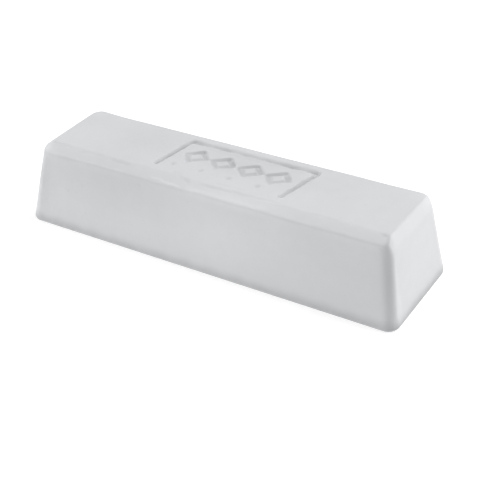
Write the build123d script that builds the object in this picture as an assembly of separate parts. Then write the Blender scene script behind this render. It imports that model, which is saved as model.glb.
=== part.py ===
from build123d import *

import os
from math import atan2, cos, degrees, hypot, radians, tan

# A solid bar of pressed white gym chalk, lying on its larger face.
# The bar tapers upwards on all four sides, as it leaves the mould, and a mark
# is pressed into its top: a frame line, open towards the front, around a row of
# diamonds and a row of dots. The mark leans a little to one side.
#
# Millimetres. +X runs along the bar, +Z up, and the origin is the centre of
# the face that the bar rests on.

# The bar
BAR_LENGTH = 170.0
BAR_WIDTH = 50.5
BAR_HEIGHT = 35.0
DRAFT_DEG = 10.0        # lean of each side and end from upright
CORNER_RADIUS = 5.2     # the four upright corners
TOP_RADIUS = 3.2        # around the top face
BASE_RADIUS = 1.7       # around the resting face

# The pressed mark, which sits a little off the middle of the top face
MARK_CENTRE_X = 3.2
MARK_CENTRE_Y = 1.0
MARK_LEAN = 0.154       # sideways shift of the mark for each mm towards the back
MARK_FLARE = 0.0014     # share that the mark gets longer for each mm towards the back
FRAME_LENGTH = 57.6     # to the middle of the frame line
FRAME_WIDTH = 23.2      # from the middle of its back line to the ends of its sides
FRAME_CORNER = 1.8
FRAME_LINE = 2.4        # width of the frame's groove
DIAMOND_COUNT = 4
DIAMOND_LENGTH = 9.6    # point to point along the bar, to the middle of the line
DIAMOND_WIDTH = 9.2     # point to point across the bar
DIAMOND_PITCH = 12.6
DIAMOND_Y = 0.8         # from the middle of the mark, towards the back
DIAMOND_LINE = 2.2      # width of a diamond's groove
WALL_DRAFT_DEG = 20.0   # lean of the groove walls
DEPTH_BACK = 1.3        # the stamp came down at a slight tilt, so the grooves
DEPTH_FRONT = 0.6       # are deeper along the back of the frame than the front
DOT_COUNT = 4
DOT_PITCH = 13.0
DOT_FIRST_X = -23.7     # from the middle of the mark
DOT_Y = -8.3
DOT_RADIUS = 1.2
DOT_DEPTH = 0.4


def rounding_loss():
    """How far the rounded base edge stays inside the sharp one, on one side."""
    lean = radians(DRAFT_DEG)
    return BASE_RADIUS * (tan(lean) + 1 / cos(lean) - 1)


def is_upright(edge):
    """True for the four corner edges of the unrounded bar."""
    return abs(edge.tangent_at(0.5).Z) > 0.5


def make_bar():
    """The tapered bar with every edge rounded, before the mark is pressed."""
    footprint = Rectangle(BAR_LENGTH + 2 * rounding_loss(), BAR_WIDTH + 2 * rounding_loss())
    bar = extrude(footprint, amount=BAR_HEIGHT, taper=DRAFT_DEG)
    bar = fillet(bar.edges().filter_by(is_upright), radius=CORNER_RADIUS)
    bar = fillet(bar.faces().sort_by(Axis.Z)[-1].edges(), radius=TOP_RADIUS)
    return fillet(bar.faces().sort_by(Axis.Z)[0].edges(), radius=BASE_RADIUS)


def leaning_face(corners):
    """A flat face through the corners, after the mark's lean and flare."""
    leaning = [(x * (1 + MARK_FLARE * y) + MARK_LEAN * y, y) for x, y in corners]
    return make_face(Polyline(*leaning, close=True))


def frame_outline(grow):
    """The frame filled in, out to a given distance beyond its line, and far beyond its front."""
    half_x, back, front = FRAME_LENGTH / 2 + grow, FRAME_WIDTH / 2 + grow, -FRAME_WIDTH
    face = leaning_face([(half_x, back), (-half_x, back), (-half_x, front), (half_x, front)])
    back_corners = face.vertices().sort_by(Axis.Y)[-2:]
    return fillet(back_corners, radius=FRAME_CORNER + grow)


def frame_band():
    """The frame line as a flat band with two sides and a back, centred on the mark."""
    band = frame_outline(FRAME_LINE / 2) - frame_outline(-FRAME_LINE / 2)
    in_front = Pos(Y=-FRAME_WIDTH) * Rectangle(BAR_LENGTH, FRAME_WIDTH)
    return band - in_front


def diamond(scale):
    """A filled diamond, as a multiple of the size of a diamond's line."""
    half_x, half_y = scale * DIAMOND_LENGTH / 2, scale * DIAMOND_WIDTH / 2
    return leaning_face([(half_x, 0), (0, half_y), (-half_x, 0), (0, -half_y)])


def diamond_band():
    """One diamond's outline as a flat band of even width."""
    half_x, half_y = DIAMOND_LENGTH / 2, DIAMOND_WIDTH / 2
    inradius = half_x * half_y / hypot(half_x, half_y)
    grow = DIAMOND_LINE / 2 / inradius
    return diamond(1 + grow) - diamond(1 - grow)


def space_above_groove_floor():
    """A box standing on the tilted plane that the grooves bottom out on."""
    tilt_deg = degrees(atan2(DEPTH_BACK - DEPTH_FRONT, FRAME_WIDTH))
    middle_depth = (DEPTH_BACK + DEPTH_FRONT) / 2
    block = Box(BAR_LENGTH, BAR_WIDTH, BAR_HEIGHT, align=(Align.CENTER, Align.CENTER, Align.MIN))
    return Pos(Z=-middle_depth) * Rot(X=-tilt_deg) * block


def dots():
    """The row of dots, each as a shape that reaches from the top face down to its floor."""
    places = [Pos(X=DOT_FIRST_X + i * DOT_PITCH, Y=DOT_Y) for i in range(DOT_COUNT)]
    discs = [place * Circle(DOT_RADIUS) for place in places]
    return [extrude(disc, amount=-DOT_DEPTH, taper=WALL_DRAFT_DEG) for disc in discs]


def press_mark(bar):
    """The bar with the frame, the row of diamonds and the row of dots pressed into its top."""
    first = -(DIAMOND_COUNT - 1) / 2
    places = [Pos(X=(first + i) * DIAMOND_PITCH, Y=DIAMOND_Y) for i in range(DIAMOND_COUNT)]
    bands = [frame_band()] + [place * diamond_band() for place in places]
    on_top = Pos(MARK_CENTRE_X, MARK_CENTRE_Y, BAR_HEIGHT)
    for band in bands:
        groove = extrude(band, amount=-(DEPTH_BACK + 0.4), taper=WALL_DRAFT_DEG)
        bar -= on_top * (groove & space_above_groove_floor())
    for dot in dots():
        bar -= on_top * dot
    return bar


def main():
    chalk_block = press_mark(make_bar())
    os.makedirs("parts", exist_ok=True)
    export_step(chalk_block, "parts/chalk_block.step")


main()
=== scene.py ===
"""A bar of pressed gym chalk: its worn surface, its powdery material and a plain soft studio."""

from math import cos, pi, radians, sin, tan

import bpy
import numpy as np
from mathutils import Matrix, Vector, noise


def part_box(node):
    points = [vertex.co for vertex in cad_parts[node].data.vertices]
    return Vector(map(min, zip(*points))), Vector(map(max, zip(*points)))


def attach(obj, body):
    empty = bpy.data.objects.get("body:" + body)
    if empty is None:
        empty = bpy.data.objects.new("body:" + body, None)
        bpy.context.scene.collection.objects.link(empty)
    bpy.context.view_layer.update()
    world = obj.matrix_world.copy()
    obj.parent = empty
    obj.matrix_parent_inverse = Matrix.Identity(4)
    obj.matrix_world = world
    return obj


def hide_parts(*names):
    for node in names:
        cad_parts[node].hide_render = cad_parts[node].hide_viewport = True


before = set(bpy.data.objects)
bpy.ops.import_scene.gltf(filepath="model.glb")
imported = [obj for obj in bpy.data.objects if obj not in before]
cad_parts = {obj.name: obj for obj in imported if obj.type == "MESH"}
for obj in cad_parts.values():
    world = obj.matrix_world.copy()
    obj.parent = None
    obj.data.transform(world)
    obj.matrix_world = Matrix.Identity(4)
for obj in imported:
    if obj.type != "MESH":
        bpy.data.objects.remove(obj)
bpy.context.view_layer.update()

MM = 0.001
CAD_LOW, CAD_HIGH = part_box("chalk_block")

# The bar's form, as the CAD part has it
LENGTH = CAD_HIGH.x - CAD_LOW.x
WIDTH = CAD_HIGH.y - CAD_LOW.y
HEIGHT = CAD_HIGH.z - CAD_LOW.z
DRAFT = radians(10)
TOP_RADIUS = 3.2 * MM
BASE_RADIUS = 1.7 * MM

# How far the upright corners' rounding runs along the front or back, and along the ends, and what
# each corner has more or less of it
CORNER_ALONG, CORNER_ACROSS = 5.0 * MM, 5.4 * MM
FRONT_RIGHT_LESS = 2.3 * MM     # along the end, above the foot
FRONT_LEFT_LESS = 0.9 * MM      # both ways, towards the top
BACK_RIGHT_MORE = 1.3 * MM      # along the end, towards the base
BACK_RIGHT_LESS = 0.6 * MM      # along the end, just below the top

# The pressed mark: a frame that is open in front, diamonds in it and a row of dots
MARK_X, MARK_Y = 3.2 * MM, 1.0 * MM
MARK_LEAN = 0.154           # sideways shift of the mark for each metre towards the back
MARK_FLARE = 1.4            # how much longer the mark gets for each metre towards the back
MARK_SWAY_X, MARK_SWAY_Y = 0.25 * MM, 0.35 * MM     # how far its lines stray
FRAME_LENGTH, FRAME_WIDTH = 57.6 * MM, 23.2 * MM
FRAME_CORNER = 1.8 * MM
SIDE_LINE, SIDE_DEPTH = 2.3 * MM, 1.4 * MM
BACK_LINE, BACK_DEPTH = 3.2 * MM, 1.1 * MM
WIDTH_VARIES = 0.2          # how much a groove's width varies, as a share
SIDE_VARIES, BACK_VARIES = 0.35, 0.50       # how much their depth varies, as a share
LEFT_DEEPER = 0.12          # how much deeper the left side is than usual, and the right shallower
DIAMOND_COUNT = 4
DIAMOND_LENGTH, DIAMOND_WIDTH = 9.6 * MM, 9.2 * MM
DIAMOND_PITCH = 12.6 * MM
DIAMOND_Y = 0.8 * MM        # from the middle of the mark, towards the back
DIAMOND_LINE = 2.8 * MM
DIAMOND_DEPTH = 1.2 * MM    # at the frame's back; it fades towards the front
DIAMOND_FADE = 0.36         # the share of it that is left at the frame's front
DIAMOND_VARIES = 0.35
DOT_COUNT = 4
DOT_X, DOT_Y = -20.5 * MM, -7.3 * MM
DOT_PITCH = 13.0 * MM
DOT_RADIUS, DOT_DEPTH = 1.9 * MM, 0.5 * MM

# Flats that wear and handling planed off the edges of the top: the direction that each faces,
# a place that it passes through, how far it wanders, and how soft its upper and lower rims are,
# in millimetres
FLATS = [
    ((-0.003, -0.454, 0.891), (0.0, -14.8, 35.0), 0.18, 0.13, 0.36),
    ((0.872, 0.0, 0.489), (77.2, 0.0, 35.0), 0.07, 0.14, 0.30),
    ((-0.74, -0.30, 0.60), (-78.3, -17.0, 35.0), 0.05, 0.20, 0.20),
    ((-0.05, -0.62, 0.78), (-78.0, -15.6, 34.6), 0.10, 0.25, 0.36),
]
END_FLAT = 1                # which of them is the right end's
END_FLAT_HIGHLIGHT = 0.045      # a painted highlight lightens it

# Creases (depth above zero) and ridges (below zero) along the bar near the front bevel:
# both ends as (x, y), depth and half width, in millimetres
SCORES = [
    ((-79.5, -14.0), (-65, -15.2), 0.46, 0.50),
    ((-62, -15.6), (-47, -15.2), 0.14, 0.60),
    ((-46, -15.6), (-34, -16.2), 0.26, 0.70),
    ((-33, -15.2), (-26, -14.8), 0.14, 0.60),
    ((-17, -13.2), (-5, -17.0), 0.26, 0.90),
    ((-4, -16.2), (36, -14.6), 0.20, 0.60),
    ((2, -13.0), (17, -12.6), 0.12, 0.80),
    ((45, -15.2), (58, -15.5), 0.16, 0.60),
    ((58, -15.0), (76, -15.6), 0.10, 0.60),
    ((-64, -19.6), (-34, -19.7), -0.12, 0.60),
    ((-25, -18.4), (-8, -19.4), -0.26, 0.55),
    ((-10, -19.2), (32, -19.2), -0.20, 1.00),
    ((29, -11.6), (33, -11.9), -0.20, 0.50),
    ((-43, -0.5), (-38, -3.0), -0.12, 0.40),
]

# Small dents: place as (x, y, z), depth and radius, in millimetres
DENTS = [
    ((75.5, -16.0, 34.7), 0.45, 1.0),
    ((-59.0, -22.8, 16.5), 0.12, 1.2),
    ((31.0, -22.1, 20.5), 0.16, 1.6),
    ((18.0, -23.9, 10.0), 0.12, 1.4),
    ((-22.0, 22.2, 19.0), 0.16, 1.5),
    ((47.0, 23.3, 12.5), 0.12, 1.3),
    ((-81.8, 6.0, 20.0), 0.14, 1.4),
]

# Soft patches of lighter and darker colour, partly painted light and shade (the uneven light over
# the front, a painted highlight at the tip of the left front corner, painted shade beside the near
# upright corner, at the front tip of the right end's flat and along the end's foot) and partly tone
# left by handling: place and reach along x, y and z, in millimetres, and how much lighter the
# surface is there
LIGHT_AND_TONE_PATCHES = [
    ((-45, -21, 28), (34, 12, 10), -0.070),
    ((5, -23, 18), (26, 12, 17), 0.050),
    ((-45, -25, 7), (32, 12, 7), 0.030),
    ((-42, 2, 35), (13, 14, 6), -0.040),
    ((70, -22, 19), (26, 10, 16), -0.035),
    ((35, -20.6, 32.3), (70, 1.5, 1.5), 0.055),
    ((18, -17.6, 34.2), (22, 2.4, 2.0), 0.045),
    ((-78, -22, 18), (4, 8, 13), -0.070),
    ((-77, -17.2, 33.0), (2.0, 2.0, 1.8), 0.150),
    ((-75, -19.6, 32.0), (8, 2.2, 2.2), 0.050),
    ((80, -20.5, 16), (3, 2.6, 18), -0.050),
    ((82.5, -18.6, 14), (3.5, 1.5, 15), 0.060),
    ((75.8, -16.2, 34.6), (1.4, 1.1, 1.2), -0.085),
    ((78.3, -16.9, 33.4), (1.5, 1.5, 2.5), -0.110),
    ((77, 16, 34), (5, 4, 3), 0.045),
    ((5, 4.0, 35), (25, 8, 4), -0.065),
    ((5, 10.3, 35), (28, 1.2, 3), -0.045),
    ((84, 0, 1.5), (3, 32, 3.2), -0.110),
    ((-38, 22, 20), (26, 8, 11), -0.040),
    ((34, 24, 11), (30, 8, 10), -0.030),
    ((-4, 22, 26), (22, 8, 9), 0.025),
    ((-83, 5, 13), (5, 13, 12), -0.035),
]

# How much painted shade darkens the grooves and the foot of the sides, and how much of the grooves'
# painted shade lies in the frame's back, in the diamonds and in the dots
GROOVE_SHADE = 0.20
BACK_SHARE, DIAMOND_SHARE, DOT_SHARE = 0.25, 0.7, 0.6
BASE_SHADE = 0.25
BASE_SHADE_HEIGHT = 5.8 * MM

# How much painted shade darkens creases and how much painted highlight lightens ridges, for each
# millimetre
CREASE_SHADE, RIDGE_HIGHLIGHT = 0.12, 0.22

# How far the left end's back edge stands out and up, and how high swells and grain are
TWIST_OUT, TWIST_UP = 0.15 * MM, 0.66 * MM
SWELL, GRAIN = 0.10 * MM, 0.014 * MM

CHALK_COLOUR = (0.620, 0.627, 0.640)

# How fine the mesh is
MARK_STEP = 0.36 * MM       # across the mark
TOP_STEP = 0.6 * MM         # across the rest of the top, from front to back
LONG_STEP = 0.95 * MM       # along the rest of the bar
SIDE_STEP = 0.8 * MM        # up the sides
CORNER_STEPS = 4            # over half of each corner
BASE_STEPS = 6              # over the base rounding
TOP_STEPS = 12              # over the top rounding


# ---------------------------------------------------------------- the bar's mesh

def smooth(low, high, value):
    """0 below low, 1 above high, and a smooth step between them; either one may be the larger."""
    t = np.clip((value - low) / (high - low), 0, 1)
    return t * t * (3 - 2 * t)


def graded(half, step_at):
    """Positions from -half to half, as far apart as step_at says at each place."""
    fine = np.linspace(-half, half, 4001)
    density = 1 / step_at(fine)
    count = np.concatenate([[0], np.cumsum((density[1:] + density[:-1]) / 2 * np.diff(fine))])
    return np.interp(np.linspace(0, count[-1], round(count[-1]) + 1), count, fine)


def near(values, centre, reach, inside, outside):
    """A step of inside within reach of centre and of outside beyond it."""
    return np.where(np.abs(values - centre) < reach, inside, outside)


def noise_at(points, size, offset=(0, 0, 0)):
    """Smooth noise around zero at each point, with features about size across."""
    return np.array([noise.noise(Vector(p) / size + Vector(offset)) for p in points])


def edge_loss():
    """How far the rounded base edge stays inside the sharp one."""
    return BASE_RADIUS * (tan(DRAFT) + 1 / cos(DRAFT) - 1)


def side_profile():
    """Inset from the sharp base outline and height, from the base up to the top face."""
    base_inset = BASE_RADIUS * (tan(DRAFT) + 1 / cos(DRAFT))
    base = [
        (base_inset - BASE_RADIUS * cos(angle), BASE_RADIUS * (1 + sin(angle)))
        for angle in np.linspace(-pi / 2, DRAFT, BASE_STEPS + 1)
    ]
    top_height = HEIGHT - TOP_RADIUS
    top_inset = top_height * tan(DRAFT) + TOP_RADIUS / cos(DRAFT)
    top = [
        (top_inset - TOP_RADIUS * cos(angle), top_height + TOP_RADIUS * sin(angle))
        for angle in np.linspace(DRAFT, pi / 2, TOP_STEPS + 1)
    ]
    low, high = base[-1][1], top[0][1]
    heights = np.linspace(low, high, round((high - low) / SIDE_STEP) + 1)[1:-1]
    return base + [(height * tan(DRAFT), height) for height in heights] + top


def corner_runs(inner_x, inner_y, z):
    """How far the corners' rounding runs along the bar, and across it in front and at the back."""
    right_end, left_end = (1 + inner_x) / 2, (1 - inner_x) / 2
    front_right = smooth(1 * MM, 8 * MM, z) * right_end
    front_left = smooth(6 * MM, 30 * MM, z) * left_end
    low_back_right = smooth(28 * MM, 4 * MM, z) * right_end
    high_back_right = smooth(25 * MM, 29 * MM, z) * smooth(34 * MM, 30 * MM, z) * right_end
    along = CORNER_ALONG - FRONT_LEFT_LESS * front_left * (1 - inner_y) / 2
    front = CORNER_ACROSS - FRONT_RIGHT_LESS * front_right - FRONT_LEFT_LESS * front_left
    back = CORNER_ACROSS + BACK_RIGHT_MORE * low_back_right - BACK_RIGHT_LESS * high_back_right
    return along, front, back


def lay_out(along, across, inset, z):
    """Points of the bar's outline, or of a flat face inside it, from grid coordinates.

    A coordinate within 1 of zero lies on the straight part, and the rest of it, up to 1 more,
    runs round the corner.
    """
    half_x = LENGTH / 2 + edge_loss() - inset
    half_y = WIDTH / 2 + edge_loss() - inset
    rounding = inset - z * tan(DRAFT)
    inner_x, inner_y = np.clip(along, -1, 1), np.clip(across, -1, 1)
    round_x, round_y = along - inner_x, across - inner_y
    run_x, run_front, run_back = (run - rounding for run in corner_runs(inner_x, inner_y, z))
    front, back = run_front - half_y, half_y - run_back
    x = inner_x * (half_x - run_x) + run_x * round_x * np.sqrt(1 - round_y**2 / 2)
    y = front + (back - front) * (inner_y + 1) / 2
    y += np.where(across < 0, run_front, run_back) * round_y * np.sqrt(1 - round_x**2 / 2)
    return x, y


def grid_lines():
    """Grid coordinates along and across the bar, finer over the mark, from corner to corner."""
    straight_x = LENGTH / 2 - HEIGHT * tan(DRAFT) - CORNER_ALONG
    straight_y = WIDTH / 2 - HEIGHT * tan(DRAFT) - CORNER_ACROSS
    reach_x = FRAME_LENGTH / 2 + BACK_LINE + MARK_LEAN * FRAME_WIDTH / 2
    reach_y = FRAME_WIDTH / 2 + BACK_LINE
    along = graded(straight_x, lambda v: near(v, MARK_X, reach_x, MARK_STEP, LONG_STEP))
    across = graded(straight_y, lambda v: near(v, MARK_Y, reach_y, MARK_STEP, TOP_STEP))
    corner = np.linspace(0, 1, CORNER_STEPS + 1)[1:]
    return [
        np.concatenate([-1 - corner[::-1], lines, 1 + corner])
        for lines in (along / straight_x, across / straight_y)
    ]


def bar_grid():
    """Vertices and faces of the bar before any wear, as one closed mesh of quads."""
    along, across = grid_lines()
    columns, rows = len(along), len(across)
    ring = [(i, 0) for i in range(columns)]
    ring += [(columns - 1, j) for j in range(1, rows)]
    ring += [(i, rows - 1) for i in range(columns - 2, -1, -1)]
    ring += [(0, j) for j in range(rows - 2, 0, -1)]
    ring_i = np.array([i for i, _ in ring])
    ring_j = np.array([j for _, j in ring])

    levels = side_profile()
    points = []
    for inset, z in levels[1:-1]:
        x, y = lay_out(along[ring_i], across[ring_j], inset, z)
        points.append(np.stack([x, y, np.full_like(x, z)], 1))
    band_count = len(points)
    grid_i, grid_j = np.meshgrid(along, across, indexing="ij")
    for inset, z in (levels[0], levels[-1]):
        x, y = lay_out(grid_i, grid_j, inset, z)
        points.append(np.stack([x.ravel(), y.ravel(), np.full(x.size, z)], 1))
    points = np.concatenate(points)

    ring_size = len(ring)
    base_start = band_count * ring_size
    top_start = base_start + columns * rows

    def cap_ring(start):
        return start + ring_i * rows + ring_j

    rings = [cap_ring(base_start)]
    rings += [np.arange(ring_size) + level * ring_size for level in range(band_count)]
    rings += [cap_ring(top_start)]
    faces = []
    for lower, upper in zip(rings[:-1], rings[1:]):
        faces.append(np.stack([lower, np.roll(lower, -1), np.roll(upper, -1), upper], 1))
    cell_i, cell_j = np.meshgrid(np.arange(columns - 1), np.arange(rows - 1), indexing="ij")
    cell = (cell_i * rows + cell_j).ravel()
    corners = np.stack([cell, cell + rows, cell + rows + 1, cell + 1], 1)
    faces.append(top_start + corners)
    faces.append(base_start + corners[:, ::-1])
    return points, np.concatenate(faces)


def frame_distance(x, y):
    """Distance from the middle of the frame's line, and the share of that line that is its back."""
    dx = np.abs(x) - (FRAME_LENGTH / 2 - FRAME_CORNER)
    dy = y - (FRAME_WIDTH / 2 - FRAME_CORNER)
    outside = np.hypot(np.maximum(dx, 0), np.maximum(dy, 0))
    inside = np.minimum(np.maximum(dx, dy), 0)
    return np.abs(outside + inside - FRAME_CORNER), smooth(-1.5 * MM, 1.5 * MM, dy - dx)


def diamond_distance(x, y):
    """Distance from the line of a diamond centred on the origin."""
    half_x, half_y = DIAMOND_LENGTH / 2, DIAMOND_WIDTH / 2
    dx, dy = np.abs(x), np.abs(y)
    along = np.clip((half_x * (half_x - dx) + half_y * dy) / (half_x**2 + half_y**2), 0, 1)
    return np.hypot(dx - half_x * (1 - along), dy - half_y * along)


def groove(distance, width):
    """A groove's depth, from 0 to 1: crisp shoulders, steep walls and a rounded floor."""
    return 1 - smooth(0.16 * width, 0.56 * width, distance)


def nearest_of(value, first, pitch, count):
    """The place, in a row of evenly spaced ones, that is nearest to each value."""
    return first + pitch * np.clip(np.round((value - first) / pitch), 0, count - 1)


def mark_lines(points):
    """How fully each point lies in the frame's line, in a diamond's line and in a dot.

    The second value is the share of the frame's line that is its back.
    """
    x, y, _ = points.T
    flat = np.stack([x, y, np.zeros_like(x)], 1)
    sway = noise_at(flat, 5 * MM)
    vary = noise_at(flat[:, [1, 0, 2]], 6 * MM, (0, 0, 4.8))
    mark_y = y - MARK_Y + MARK_SWAY_Y * sway
    mark_x = x - MARK_X - MARK_LEAN * mark_y + MARK_SWAY_X * sway
    mark_x /= 1 + MARK_FLARE * mark_y
    back = mark_y / FRAME_WIDTH + 0.5

    distance, rear = frame_distance(mark_x, mark_y)
    width = SIDE_LINE + (BACK_LINE - SIDE_LINE) * rear
    frame_line = groove(distance, width * (1 + WIDTH_VARIES * vary))
    frame_line *= smooth(-0.015, 0.03, back)
    frame_line *= 1 + (SIDE_VARIES + (BACK_VARIES - SIDE_VARIES) * rear) * vary
    frame_line *= 1 - LEFT_DEEPER * (1 - rear) * np.sign(mark_x)

    first = -(DIAMOND_COUNT - 1) / 2 * DIAMOND_PITCH
    nearest = nearest_of(mark_x, first, DIAMOND_PITCH, DIAMOND_COUNT)
    from_diamond = diamond_distance(mark_x - nearest, mark_y - DIAMOND_Y)
    diamond_line = groove(from_diamond, DIAMOND_LINE * (1 + WIDTH_VARIES * vary))
    diamond_line *= DIAMOND_FADE + (1 - DIAMOND_FADE) * np.clip(back, 0, 1)
    diamond_line *= 1 + DIAMOND_VARIES * vary

    nearest = nearest_of(x, DOT_X, DOT_PITCH, DOT_COUNT)
    dot = 1 - smooth(0, DOT_RADIUS, np.hypot(x - nearest, y - DOT_Y))
    return frame_line, rear, diamond_line, dot


def press_mark(points):
    """Pushes the top down where the stamp was."""
    frame_line, rear, diamond_line, dot = mark_lines(points)
    on_top = smooth(HEIGHT - 2.0 * MM, HEIGHT - 0.8 * MM, points[:, 2])
    frame_depth = SIDE_DEPTH + (BACK_DEPTH - SIDE_DEPTH) * rear
    depth = np.maximum(frame_depth * frame_line, DIAMOND_DEPTH * diamond_line)
    points[:, 2] -= np.maximum(depth, DOT_DEPTH * dot) * on_top


def plane_flats(points):
    """Planes the worn flats off the edges of the top."""
    uneven = noise_at(points, 14 * MM, (0, 3, 1))
    for facing, place, wander, upper_rim, lower_rim in FLATS:
        facing = Vector(facing).normalized()
        limit = (facing.dot(Vector(place)) + wander * uneven) * MM
        lower = 1 - smooth(33.2 * MM, 34.6 * MM, points[:, 2])
        softness = (upper_rim + (lower_rim - upper_rim) * lower) * MM
        over = (points @ np.array(facing) - limit) / softness
        cut = softness * np.log1p(np.exp(np.clip(over, -30, 30)))
        points -= cut[:, None] * np.array(facing)


def twist_left_end(points):
    """Turns the left end's top a little: in and down at its front, out and up at its back."""
    x, y, z = points.T
    share = smooth(-60 * MM, -84 * MM, x) * smooth(12 * MM, 34 * MM, z) * (y - 6 * MM) / (19 * MM)
    points[:, 0] -= TWIST_OUT * share
    points[:, 2] += TWIST_UP * share


def scores_at(points):
    """How deep the creases are at each point, in millimetres, below zero on a ridge."""
    x, y, z = points.T / MM
    depth_here = np.zeros_like(x)
    for (x0, y0), (x1, y1), depth, half_width in SCORES:
        run = np.clip((x - x0) / (x1 - x0), 0, 1)
        ends = smooth(0, 0.18, run) * smooth(0, 0.18, 1 - run)
        wobble = 0.12 * np.sin(x * 0.9 + x0) + 0.06 * np.sin(x * 2.3 + y0)
        off = (y - (y0 + (y1 - y0) * run) - wobble) / half_width
        depth_here += depth * ends * np.exp(-off**2)
    return depth_here * smooth(29.0, 31.0, z)


def dent(points, normals):
    """Presses the small dents in."""
    for place, depth, radius in DENTS:
        distance = np.linalg.norm(points / MM - np.array(place), axis=1) / radius
        points -= (depth * MM * np.exp(-distance**2))[:, None] * normals


def roughen(points, normals):
    """Slow swells and a fine unevenness over the whole bar, apart from the face it lies on."""
    lift = SWELL * noise_at(points, 17 * MM) + GRAIN * noise_at(points, 2.3 * MM, (9, 4, 2))
    lift *= smooth(0.2 * MM, 2.5 * MM, points[:, 2])
    points += lift[:, None] * normals


def tones(points, creases):
    """How much lighter or darker, as a share, each point is: tone left by handling, and painted
    light and shade on the patches, grooves, the end's flat, creases, ridges and the foot of the
    sides.
    """
    z = points[:, 2]
    tone = np.zeros_like(z)
    # painted light and shade, and tone left by handling
    for place, reach, strength in LIGHT_AND_TONE_PATCHES:
        away = (points / MM - np.array(place)) / np.array(reach)
        tone += strength * np.exp(-(away**2).sum(axis=1))
    frame_line, rear, diamond_line, dot = mark_lines(points)
    # painted shade in the mark's grooves, diamonds and dots
    on_top = smooth(HEIGHT - 4.0 * MM, HEIGHT - 3.0 * MM, z)
    groove_shade = frame_line * (1 - (1 - BACK_SHARE) * smooth(0.5, 1, rear))
    groove_shade = np.maximum(groove_shade, np.maximum(DIAMOND_SHARE * diamond_line, DOT_SHARE * dot))
    tone -= GROOVE_SHADE * groove_shade * on_top
    # painted highlight on the right end's flat
    facing, place = (np.array(v) for v in FLATS[END_FLAT][:2])
    tone += END_FLAT_HIGHLIGHT * smooth(-0.3, 0.0, (points / MM - place) @ facing)
    # painted shade in the creases, painted highlight on the ridges
    tone -= np.where(creases > 0, CREASE_SHADE, RIDGE_HIGHLIGHT) * creases
    # painted shade, darker towards the foot of the sides
    ragged = z + 0.8 * MM * noise_at(points, 6 * MM)
    tone -= BASE_SHADE * (1 - smooth(0.4 * MM, BASE_SHADE_HEIGHT, ragged))
    return tone


def make_bar():
    """The bar as one mesh, standing in for the CAD solid."""
    points, faces = bar_grid()
    twist_left_end(points)
    plane_flats(points)
    mesh = bpy.data.meshes.new("chalk_bar")
    mesh.from_pydata(points.tolist(), [], faces.tolist())
    normals = np.zeros(len(points) * 3)
    mesh.vertex_normals.foreach_get("vector", normals)
    normals = normals.reshape(-1, 3)
    creases = scores_at(points)
    # the tone: painted light and shade, and tone left by handling, kept on the mesh for the
    # material
    tone = mesh.attributes.new("tone", "FLOAT", "POINT")
    tone.data.foreach_set("value", tones(points, creases))
    points[:, 2] -= creases * MM
    dent(points, normals)
    roughen(points, normals)
    press_mark(points)
    mesh.vertices.foreach_set("co", points.ravel())
    mesh.shade_smooth()
    mesh.update()
    bar = bpy.data.objects.new("chalk_bar", mesh)
    bpy.context.scene.collection.objects.link(bar)
    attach(bar, "root")
    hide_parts("chalk_block")
    return bar


# ---------------------------------------------------------------- the material

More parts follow.
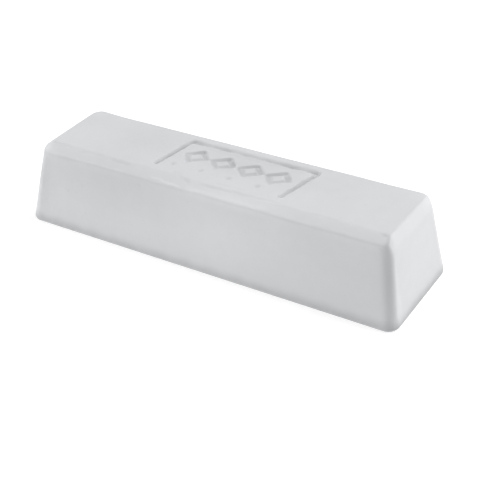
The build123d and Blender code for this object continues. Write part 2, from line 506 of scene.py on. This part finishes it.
def chalk_material():
    """White pressed powder: faintly cloudy, matt, with a fine grain and a few pinholes."""
    material = bpy.data.materials.new("chalk")
    material.use_nodes = True
    nodes, links = material.node_tree.nodes, material.node_tree.links
    shader = nodes["Principled BSDF"]
    shader.inputs["Specular IOR Level"].default_value = 0.35
    place = nodes.new("ShaderNodeTexCoord").outputs["Object"]

    def noise_map(scale, detail, roughness=0.5):
        """Noise over the object, with features about 1/scale metres across."""
        node = nodes.new("ShaderNodeTexNoise")
        node.inputs["Scale"].default_value = scale
        node.inputs["Detail"].default_value = detail
        node.inputs["Roughness"].default_value = roughness
        links.new(place, node.inputs["Vector"])
        return node.outputs["Fac"]

    def remap(value, from_low, from_high, to_low, to_high):
        """The value moved from one range to another and held inside it."""
        node = nodes.new("ShaderNodeMapRange")
        for name, number in (
            ("From Min", from_low), ("From Max", from_high), ("To Min", to_low), ("To Max", to_high)
        ):
            node.inputs[name].default_value = number
        links.new(value, node.inputs["Value"])
        return node.outputs["Result"]

    def combine(operation, first, second):
        """Two values put through one sum or product."""
        node = nodes.new("ShaderNodeMath")
        node.operation = operation
        links.new(first, node.inputs[0])
        if isinstance(second, float):
            node.inputs[1].default_value = second
        else:
            links.new(second, node.inputs[1])
        return node.outputs[0]

    clouds = remap(noise_map(28, 2), 0.3, 0.7, 0.985, 1.015)
    powder = remap(noise_map(190, 4, 0.6), 0.3, 0.7, 0.99, 1.01)
    pinholes = remap(noise_map(520, 1), 0.21, 0.26, 0.965, 1.0)
    # the bar's tone: painted light and shade, and tone left by handling
    painted_light_and_tone = nodes.new("ShaderNodeAttribute")
    painted_light_and_tone.attribute_name = "tone"
    level = combine("ADD", painted_light_and_tone.outputs["Fac"], 1.0)
    for layer in (clouds, powder, pinholes):
        level = combine("MULTIPLY", level, layer)
    colour = nodes.new("ShaderNodeVectorMath")
    colour.operation = "SCALE"
    colour.inputs[0].default_value = CHALK_COLOUR
    links.new(level, colour.inputs["Scale"])
    links.new(colour.outputs["Vector"], shader.inputs["Base Color"])

    links.new(remap(noise_map(240, 3), 0.3, 0.7, 0.62, 0.80), shader.inputs["Roughness"])

    surface = None
    for height, distance, strength in (
        (noise_map(160, 3), 0.15 * MM, 0.35),
        (noise_map(1500, 3, 0.7), 0.03 * MM, 0.5),
        (pinholes, 0.20 * MM, 0.4),
    ):
        bump = nodes.new("ShaderNodeBump")
        bump.inputs["Strength"].default_value = strength
        bump.inputs["Distance"].default_value = distance
        links.new(height, bump.inputs["Height"])
        if surface:
            links.new(surface, bump.inputs["Normal"])
        surface = bump.outputs["Normal"]
    links.new(surface, shader.inputs["Normal"])
    return material


# ---------------------------------------------------------------- the studio

def plain_object(name, points, faces, grey, roughness, glow):
    """A mesh in one plain grey, which also gives off some white light of its own."""
    mesh = bpy.data.meshes.new(name)
    mesh.from_pydata(points, [], faces)
    material = bpy.data.materials.new(name)
    material.use_nodes = True
    shader = material.node_tree.nodes["Principled BSDF"]
    shader.inputs["Base Color"].default_value = (grey, grey, grey, 1)
    shader.inputs["Roughness"].default_value = roughness
    shader.inputs["Emission Color"].default_value = (1, 1, 1, 1)
    shader.inputs["Emission Strength"].default_value = glow
    mesh.materials.append(material)
    plain = bpy.data.objects.new(name, mesh)
    bpy.context.scene.collection.objects.link(plain)
    return plain


def make_floor():
    """A plain pale floor, level with the bar's base."""
    half = 1.6
    corners = [(-half, -half, 0), (half, -half, 0), (half, half, 0), (-half, half, 0)]
    floor = plain_object("floor", corners, [(0, 1, 2, 3)], grey=0.5, roughness=0.9, glow=0.7)


def make_backdrop():
    """A white wall far off all round, which the camera sees and which lights nothing."""
    count, radius, height = 64, 1.55, 2.0
    turns = [2 * pi * i / count for i in range(count)]
    rims = [[(radius * cos(t), radius * sin(t), z) for t in turns] for z in (0.0, height)]
    faces = [(i, (i + 1) % count, (i + 1) % count + count, i + count) for i in range(count)]
    wall = rims[0] + rims[1]
    backdrop = plain_object("backdrop", wall, faces, grey=0.0, roughness=0.5, glow=1.0)
    backdrop.visible_diffuse = False
    backdrop.visible_glossy = False
    backdrop.visible_shadow = False


def make_camera():
    """The camera, placed round the middle of the bar's base."""
    azimuth, elevation, roll = radians(32.48), radians(31.93), radians(-1.835)
    distance = 432.1 * MM
    aim_right, aim_up = 4.29 * MM, 0.91 * MM
    back = Vector(
        (sin(azimuth) * cos(elevation), -cos(azimuth) * cos(elevation), sin(elevation))
    )
    right = Vector((0, 0, 1)).cross(back).normalized()
    up = back.cross(right)
    turn = Matrix((right, up, back)).transposed() @ Matrix.Rotation(roll, 3, "Z")
    camera_data = bpy.data.cameras.new("camera")
    camera_data.lens = 78.93
    camera = bpy.data.objects.new("camera", camera_data)
    place = back * distance + right * aim_right + up * aim_up
    camera.matrix_world = Matrix.Translation(place) @ turn.to_4x4()
    bpy.context.scene.collection.objects.link(camera)
    bpy.context.scene.camera = camera


def soft_light(name, azimuth, elevation, distance, size, power):
    """A square soft light aimed at the bar; azimuth 0 is in front of it and 90 to its right."""
    turn, lift = radians(azimuth), radians(elevation)
    away = Vector((sin(turn) * cos(lift), -cos(turn) * cos(lift), sin(lift)))
    light_data = bpy.data.lights.new(name, "AREA")
    light_data.size = size
    light_data.energy = power
    light = bpy.data.objects.new(name, light_data)
    light.visible_camera = False
    light.location = away * distance
    light.rotation_mode = "QUATERNION"
    light.rotation_quaternion = away.to_track_quat("Z", "Y")
    bpy.context.scene.collection.objects.link(light)


def make_lights():
    """Large soft lights low at both sides and high behind, and two small ones close in front."""
    soft_light("left_low", -60, 15, 3.0, 1.5, 33.6)
    soft_light("left_mid", -90, 35, 3.0, 1.5, 24.6)
    soft_light("right_low", 120, 15, 3.0, 1.5, 26.4)
    soft_light("right_high", 135, 58, 3.0, 1.5, 82.0)
    soft_light("left_near", -30, 25, 0.45, 0.2, 0.27)
    soft_light("front_near", 0, 25, 0.45, 0.2, 0.21)


def make_world():
    """No light but the lamps."""
    world = bpy.data.worlds.new("studio")
    world.use_nodes = True
    background = world.node_tree.nodes["Background"]
    background.inputs["Color"].default_value = (1, 1, 1, 1)
    background.inputs["Strength"].default_value = 0.0
    bpy.context.scene.world = world
    bpy.context.scene.view_settings.view_transform = "Standard"


bar = make_bar()
bar.data.materials.append(chalk_material())
make_floor()
make_backdrop()
make_world()
make_lights()
make_camera()
